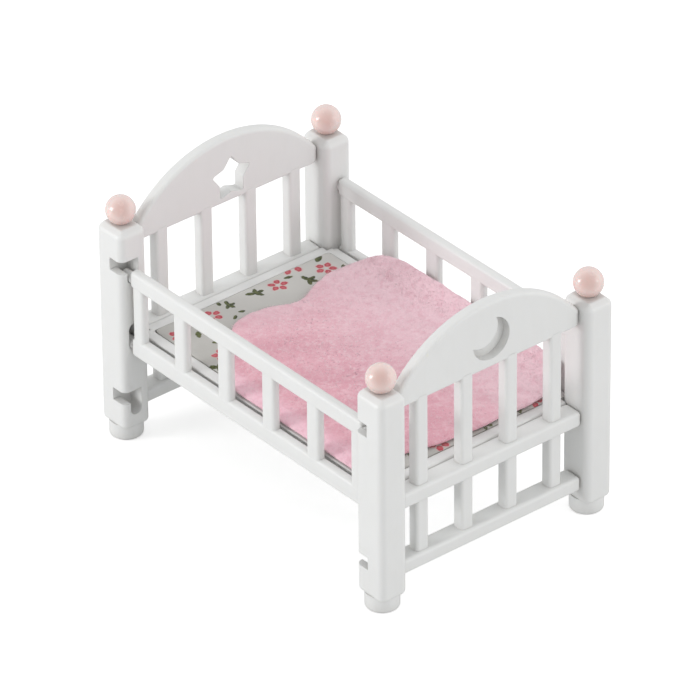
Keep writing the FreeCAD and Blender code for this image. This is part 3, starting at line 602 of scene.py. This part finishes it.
def puff(name, verts, faces, pressure, cap, frames):
    """Swell a closed pad's skin by cloth simulation; no point moves further than cap."""
    centre = sum((Vector(v) for v in verts), Vector()) / len(verts)
    mesh = outward_mesh(name, [(Vector(v) - centre) * SIM_SCALE for v in verts], faces)
    obj = add_object(name, mesh)
    cloth = obj.modifiers.new("cloth", "CLOTH")
    settings = cloth.settings
    settings.quality = 5
    settings.mass = 0.3
    settings.tension_stiffness = SIM_STIFFNESS
    settings.compression_stiffness = SIM_STIFFNESS
    settings.shear_stiffness = SIM_STIFFNESS * 0.4
    settings.bending_stiffness = 2.5
    settings.use_pressure = True
    settings.uniform_pressure_force = pressure
    settings.effector_weights.gravity = 0.0
    cloth.collision_settings.use_collision = False
    cloth.collision_settings.use_self_collision = False
    cloth.point_cache.frame_start = 1
    cloth.point_cache.frame_end = frames
    for f in range(1, frames + 1):
        SCENE.frame_set(f)
    depsgraph = bpy.context.evaluated_depsgraph_get()
    swollen = obj.evaluated_get(depsgraph).to_mesh()
    moved = []
    for start, end in zip(verts, swollen.vertices):
        start = Vector(start)
        move = Vector(end.co) / SIM_SCALE + centre - start
        if move.length > cap:
            move = move * (cap / move.length)
        moved.append(start + move)
    bpy.data.objects.remove(obj, do_unlink=True)
    bpy.data.meshes.remove(mesh)
    SCENE.frame_set(1)
    return moved


def subdivide(obj):
    """Apply one level of subdivision."""
    mod = obj.modifiers.new("subdivision", "SUBSURF")
    mod.levels = mod.render_levels = 1
    depsgraph = bpy.context.evaluated_depsgraph_get()
    mesh = bpy.data.meshes.new_from_object(obj.evaluated_get(depsgraph))
    obj.modifiers.remove(mod)
    old = obj.data
    obj.data = mesh
    bpy.data.meshes.remove(old)
    shade_smooth(mesh)


def noise_at(x, y, z):
    return noise.noise(Vector((x, y, z)))


def fractal(x, y, z, octaves):
    """Noise summed over octaves, each half as strong as the last."""
    point, total, strength, size = Vector((x, y, z)), 0.0, 1.0, 0.0
    for _ in range(octaves):
        total += strength * noise.noise(point)
        size += strength
        point = point * 2.03 + Vector((7.1, 3.7, 1.9))
        strength *= 0.5
    return total / size


def step_up(x, span):
    """Smooth step from 0 at the span's start to 1 at its end."""
    start, end = span
    k = min(1.0, max(0.0, (x - start) / (end - start)))
    return k * k * (3.0 - 2.0 * k)


# ------------------------------------------------------------ mattress sheet
# thin woven sheet drawn over the board: soft rolled edge, small puckers where
# it is pulled down along the sides
SHEET_OVERHANG = 0.06
SHEET_CORNER = 1.35
SHEET_BEAD = 0.20       # drop of the rolled edge


def make_sheet():
    (x0, y0, z0), (x1, y1, _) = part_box("mattress_sheet")
    centre_x, centre_y = (x0 + x1) / 2 * TO_MM, (y0 + y1) / 2 * TO_MM
    half_x = (x1 - x0) / 2 * TO_MM + SHEET_OVERHANG
    half_y = (y1 - y0) / 2 * TO_MM + SHEET_OVERHANG
    low = z0 * TO_MM

    def gather(v):
        # rows gather towards the rim so that the rolled edge is smooth
        return math.copysign(1.0 - (1.0 - abs(v)) ** 1.25, v)

    def plan(s, t):
        return rounded_point(gather(s), gather(t), half_x, half_y, (SHEET_CORNER,) * 4)

    def lift(x, y, side, s, t):
        if side < 0:
            return Vector((centre_x + x * 0.998, centre_y + y * 0.998, low + 0.02)) * MM
        if side == 0:
            flare = 0.05 + 0.06 * noise_at(x * 0.5, y * 0.5, 1.0)
            return Vector((centre_x + x * (1.0 + flare / half_x),
                           centre_y + y * (1.0 + flare / half_y), low + 0.16)) * MM
        inset_x, inset_y = half_x - abs(x), half_y - abs(y)
        inset = min(inset_x, inset_y)
        top = low + 0.40 + 0.22 * step_up(inset, span=(0.0, 6.0))
        top += 0.10 * fractal(x * 0.10, y * 0.10, 3.0, octaves=3)
        # puckers along the long sides, then along the ends
        top += 0.07 * step_up(inset_y, span=(5.0, 0.6)) * noise_at(x * 1.1, y * 0.12, 9.0)
        top += 0.05 * step_up(inset_x, span=(4.0, 0.6)) * noise_at(x * 0.12, y, 5.0)
        roll = 1.0 - step_up(inset, span=(0.0, 0.9))
        return Vector((centre_x + x, centre_y + y, top - roll ** 2.2 * SHEET_BEAD)) * MM

    verts, faces = pad_mesh(156, 102, plan, lift)
    verts = puff("sheet_sim", verts, faces, pressure=0.8, cap=0.10 * MM, frames=12)
    obj = new_object("printed_mattress_sheet", verts, faces, SHEET)
    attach(obj, MATTRESS_BODY)
    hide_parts("mattress_sheet")


# ------------------------------------------------------------------ blanket
# cut piece of brushed fleece, flat over the mattress, resting on the near rim
# and turned up against the far rail
BLANKET_THICK = 1.25
BLANKET_CORNERS = (20.0, 4.0, 14.5, 2.5)   # near head, near foot, far head, far foot
FOLD_Y, FOLD_RADIUS, FOLD_ANGLE = 18.6, 9.0, math.radians(55.0)
TURN_UP = 2.6           # straight part beyond the fold
FAR_LIMIT = 28.30       # y that neither the skin nor the fibres pass


def wavy_edges(x, y, s, t):
    """Move a plan point so that the cut edges run unevenly."""
    x += ((0.45 * math.sin(y * 0.19 + 0.4) + 0.35 * noise_at(2.0, y * 0.28, 0.0))
          * step_up(-s, span=(0.55, 1.0)))
    x += 0.5 * noise_at(5.0, y * 0.15, 0.0) * step_up(s, span=(0.7, 1.0))
    # the head edge is drawn back in two shallow waves, and reaches out at its far end
    wave = 2.4 * math.exp(-((y - 5.5) / 4.6) ** 2) + 1.6 * math.exp(-((y + 14.5) / 4.0) ** 2)
    wave -= 1.3 * step_up(y, span=(12.0, 20.0))
    x += wave * step_up(-s, span=(0.25, 1.0))
    # the foot edge runs a little askew
    askew = 2.3 * step_up(y, span=(-4.0, -18.0)) + 0.7 * step_up(y, span=(9.0, -6.0))
    x -= askew * step_up(s, span=(0.3, 1.0))
    # the near corner at the head is pulled in
    x += 6.5 * step_up(y, span=(-11.0, -26.5)) * step_up(-s, span=(0.15, 0.85))
    y += 0.3 * noise_at(x * 0.2, 8.0, 0.0) * step_up(t, span=(0.7, 1.0))
    return x, y


def blanket_rise(x, y, s, inset):
    """Height of the middle layer above the one of a blanket lying flat."""
    wave = 0.42 * fractal(x * 0.075, y * 0.09, 1.7, octaves=2)
    wave += 0.14 * fractal(x * 0.22, y * 0.22, 6.0, octaves=2) + 0.16
    rise = max(0.0, wave) * step_up(inset, span=(0.0, 3.0))
    # the head edge curls up
    curl = 0.18 * (1.0 - step_up(inset, span=(0.0, 3.5)))
    curl *= 0.6 + 0.4 * noise_at(x * 0.2, y * 0.2, 4.0)
    rise += curl * step_up(s, span=(-0.6, -0.95))
    # it lifts towards the fold, and dips at the near edge
    rise += (1.1 * step_up(y, span=(0.0, 19.0)) * step_up(x, span=(38.0, 27.0))
             * (0.6 + 0.4 * step_up(x, span=(-30.0, -10.0))))
    return rise - 0.34 * step_up(y, span=(-24.6, -26.9))


def fold_up(y):
    """A flat y carried round the fold: its new y, its rise and the slope angle there."""
    angle = min(max(0.0, (y - FOLD_Y) / FOLD_RADIUS), FOLD_ANGLE)
    beyond = y - FOLD_Y - FOLD_RADIUS * angle
    return (FOLD_Y + FOLD_RADIUS * math.sin(angle) + beyond * math.cos(angle),
            FOLD_RADIUS * (1.0 - math.cos(angle)) + beyond * math.sin(angle), angle)


def brush_skin(mesh, floor_z):
    """Short random lift of the skin, kept above floor_z."""
    for vert, co, normal in [(v, v.co.copy(), v.normal.copy()) for v in mesh.vertices]:
        point = co * TO_MM
        lift = 0.055 * noise.noise(point * 1.5) + 0.04 * noise.noise(point * 0.7)
        lift += 0.075 * noise.noise(point * 3.1 + Vector((5.0, 1.0, 2.0)))
        moved = point + normal * lift
        moved.y = min(moved.y, FAR_LIMIT)
        moved.z = max(moved.z, floor_z)
        vert.co = moved * MM
    mesh.update()


def make_blanket():
    (x0, y0, z0), (x1, _, _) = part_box("blanket")
    low = z0 * TO_MM + 0.10
    head, foot = x0 * TO_MM - 0.3, x1 * TO_MM - 0.1
    near = y0 * TO_MM - 0.9
    far = FOLD_Y + FOLD_RADIUS * FOLD_ANGLE + TURN_UP
    centre_x, centre_y = (head + foot) * 0.5, (near + far) * 0.5
    half_x, half_y = (foot - head) * 0.5, (far - near) * 0.5
    rim_bulge = 0.30

    def plan(s, t):
        x, y = rounded_point(s, t, half_x, half_y, BLANKET_CORNERS)
        return wavy_edges(centre_x + x, centre_y + y, s, t)

    def lift(x, y, side, s, t):
        inset = (1.0 - max(abs(s), abs(t))) * min(half_x, half_y)
        folded_y, z, angle = fold_up(y)
        z += low + BLANKET_THICK * 0.5 + blanket_rise(x, y, s, inset)
        sine, cosine = math.sin(angle), math.cos(angle)
        if side == 0:
            out = Vector((x - centre_x, y - centre_y)).normalized() * rim_bulge
            return Vector((x + out.x, folded_y + out.y * cosine, z + out.y * sine)) * MM
        # thinner at the rim
        thin = 1.0 - 0.35 * (1.0 - step_up(inset, span=(0.0, 1.6)))
        half = BLANKET_THICK * 0.5 * thin * side
        return Vector((x, folded_y - sine * half, z + cosine * half)) * MM

    verts, faces = pad_mesh(100, 92, plan, lift)
    verts = puff("blanket_sim", verts, faces, pressure=4.0, cap=0.32 * MM, frames=20)
    obj = new_object("fleece_blanket", verts, faces, FLEECE)
    subdivide(obj)
    brush_skin(obj.data, floor_z=low - 0.38)
    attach(obj, BLANKET_BODY)
    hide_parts("blanket")
    return obj


# raised pile of the fleece: short tapered fibres on the top and the cut edges
PILE_COUNT, PILE_COUNT_QUICK = 13500, 3000
EDGE_WEIGHT = 5.0       # fibres are this much denser on the cut edges


def pile_weight(y, normal):
    """How densely fibres grow on a face."""
    if normal.z < -0.35:
        return 0.0
    if y > 24.0:
        # the face that looks into the bed and the upper edge only
        if normal.y > 0.5:
            return 0.0
        return EDGE_WEIGHT if normal.z > 0.6 else 1.0
    return EDGE_WEIGHT if math.hypot(normal.x, normal.y) > 0.45 else 1.0


def make_pile(blanket):
    rng = random.Random(11)
    mesh = blanket.data
    totals, chosen, total = [], [], 0.0
    for face in mesh.polygons:
        weight = pile_weight(face.center.y * TO_MM, face.normal)
        if weight > 0.0:
            total += face.area * weight
            totals.append(total)
            chosen.append(face)
    verts, faces = [], []
    for _ in range(PILE_COUNT):
        pick = bisect_left(totals, rng.random() * total)
        face = chosen[min(len(chosen) - 1, pick)]
        c0, c1, c2, c3 = (mesh.vertices[i].co for i in face.vertices)
        a, b = rng.random(), rng.random()
        root = c0.lerp(c1, a).lerp(c3.lerp(c2, a), b) * TO_MM
        normal = face.normal
        aside = Vector((rng.gauss(0, 1), rng.gauss(0, 1), rng.gauss(0, 1)))
        aside = (aside - normal * aside.dot(normal)).normalized()
        length = rng.uniform(0.35, 0.95)
        lean = rng.uniform(0.5, 1.6)
        # two segments, the upper one leaning further; the root is sunk a little
        lower = (normal + aside * lean * 0.5).normalized()
        upper = (normal * 0.6 + aside * lean).normalized()
        root = root - normal * 0.05
        middle = root + lower * length * 0.5
        tip = middle + upper * length * 0.5
        if max(middle.y, tip.y) > FAR_LIMIT:
            continue
        root_radius = rng.uniform(0.014, 0.026)
        u = lower.orthogonal().normalized()
        w = lower.cross(u)
        start = len(verts)
        for centre, radius in ((root, root_radius), (middle, root_radius * 0.8)):
            for i in range(3):
                angle = 2.0 * math.pi * i / 3
                verts.append((centre + (u * math.cos(angle) + w * math.sin(angle)) * radius) * MM)
        verts.append(tip * MM)
        for i in range(3):
            j = (i + 1) % 3
            faces.append((start + i, start + j, start + 3 + j, start + 3 + i))
            faces.append((start + 3 + i, start + 3 + j, start + 6))
        faces.append((start + 2, start + 1, start))
    obj = new_object("fleece_pile", verts, faces, PILE)
    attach(obj, BLANKET_BODY)


# ------------------------------------------------------- lock pegs of the rail
# two short round pegs on the ends of the rail's top bar, which rest in the
# posts' lock slots
PEG_X, PEG_Y, PEG_Z = 39.45, -29.55, 42.65   # bar end and the pegs' axis
PEG_SIDES = 28
# distance out from the bar end, radius
PEG_RINGS = ((0.0, 1.22), (0.25, 1.25), (2.9, 1.25), (3.25, 1.17), (3.45, 0.98), (3.52, 0.72))


def make_pegs():
    verts, faces = [], []
    for sign in (-1, 1):
        first = len(verts)
        for out, radius in PEG_RINGS:
            for i in range(PEG_SIDES):
                angle = 2.0 * math.pi * i / PEG_SIDES
                verts.append(Vector((sign * (PEG_X + out), PEG_Y + radius * math.cos(angle),
                                     PEG_Z + radius * math.sin(angle))) * MM)
        last = len(verts) - PEG_SIDES
        for ring in range(first, last, PEG_SIDES):
            for i in range(PEG_SIDES):
                a, b = ring + i, ring + (i + 1) % PEG_SIDES
                faces.append((a, b, b + PEG_SIDES, a + PEG_SIDES))
        for ring in (first, last):
            faces.append(tuple(range(ring, ring + PEG_SIDES)))
    obj = new_object("rail_lock_pegs", verts, faces, WHITE)
    bevel = obj.modifiers.new("bevel", "BEVEL")
    bevel.width = 0.12 * MM
    bevel.segments = 2
    bevel.limit_method = "ANGLE"
    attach(obj, RAIL_BODY)


make_sheet()
make_pile(make_blanket())
make_pegs()


# ------------------------------------------------------------ floor and light
FLOOR_CELLS, FLOOR_HALF, FLOOR_Z = 24, 1.6, -0.00002   # metres


def make_floor():
    """Pale floor that glows mostly for the camera, so it adds little light to the cot."""
    verts, faces = [], []
    row = FLOOR_CELLS + 1
    for j in range(row):
        for i in range(row):
            verts.append(((2.0 * i / FLOOR_CELLS - 1.0) * FLOOR_HALF,
                          (2.0 * j / FLOOR_CELLS - 1.0) * FLOOR_HALF, FLOOR_Z))
    for j in range(FLOOR_CELLS):
        for i in range(FLOOR_CELLS):
            a = j * row + i
            faces.append((a, a + 1, a + row + 1, a + row))
    mat = Material("studio_floor")
    cloud = mat.noise(per_mm=0.02)
    seen = mat.node("ShaderNodeLightPath").outputs["Is Camera Ray"]
    mat.set(Base_Color=mat.mix(cloud, low=(0.80, 0.80, 0.80), high=(0.77, 0.77, 0.77)),
            Roughness=0.9, Specular_IOR_Level=0.1, Emission_Color=(1.0, 1.0, 1.0),
            Emission_Strength=mat.ramp(seen, span=(0.0, 1.0), to=(0.02, 0.52), smooth=False))
    new_object("floor", verts, faces, mat.material)


# world strength: its level, and how much it grows along each axis
WORLD_LEVEL = 0.668
WORLD_SLOPES = {"X": 0.09, "Y": 0.20, "Z": 0.17}
WORLD_LEAST = 0.05


def make_world():
    world = bpy.data.worlds.new("studio")
    SCENE.world = world
    world.use_nodes = True
    nodes = Nodes(world.node_tree)
    parts = nodes.split(nodes.node("ShaderNodeTexCoord").outputs["Generated"])
    level = WORLD_LEVEL
    for axis, slope in WORLD_SLOPES.items():
        level = nodes.plus(level, parts[axis], times=slope)
    background = nodes.tree.nodes["Background"]
    nodes.put(background.inputs["Color"], (1.0, 1.0, 1.0))
    nodes.put(background.inputs["Strength"], nodes.math("MAXIMUM", level, WORLD_LEAST))


LIGHT_AIM = Vector((0.0, 0.0, 0.03))


def softbox(name, where, size, energy):
    """Rectangular area light that points at LIGHT_AIM."""
    data = bpy.data.lights.new(name, "AREA")
    data.shape = "RECTANGLE"
    data.size, data.size_y = size
    data.energy = energy
    obj = add_object(name, data)
    obj.location = where
    obj.rotation_euler = (Vector(where) - LIGHT_AIM).to_track_quat("Z", "Y").to_euler()


make_world()
make_floor()
softbox("key", where=(-0.50, -0.86, 0.26), size=(0.20, 0.20), energy=2.7)
# a strip on either side of the view, a little towards the camera
for name, sideways in (("strip_left", -0.75), ("strip_right", 0.75)):
    place = Vector((0, 0, 0.16)) + RIGHT * sideways + TOWARD * 0.32
    softbox(name, where=place, size=(0.10, 0.30), energy=0.75)
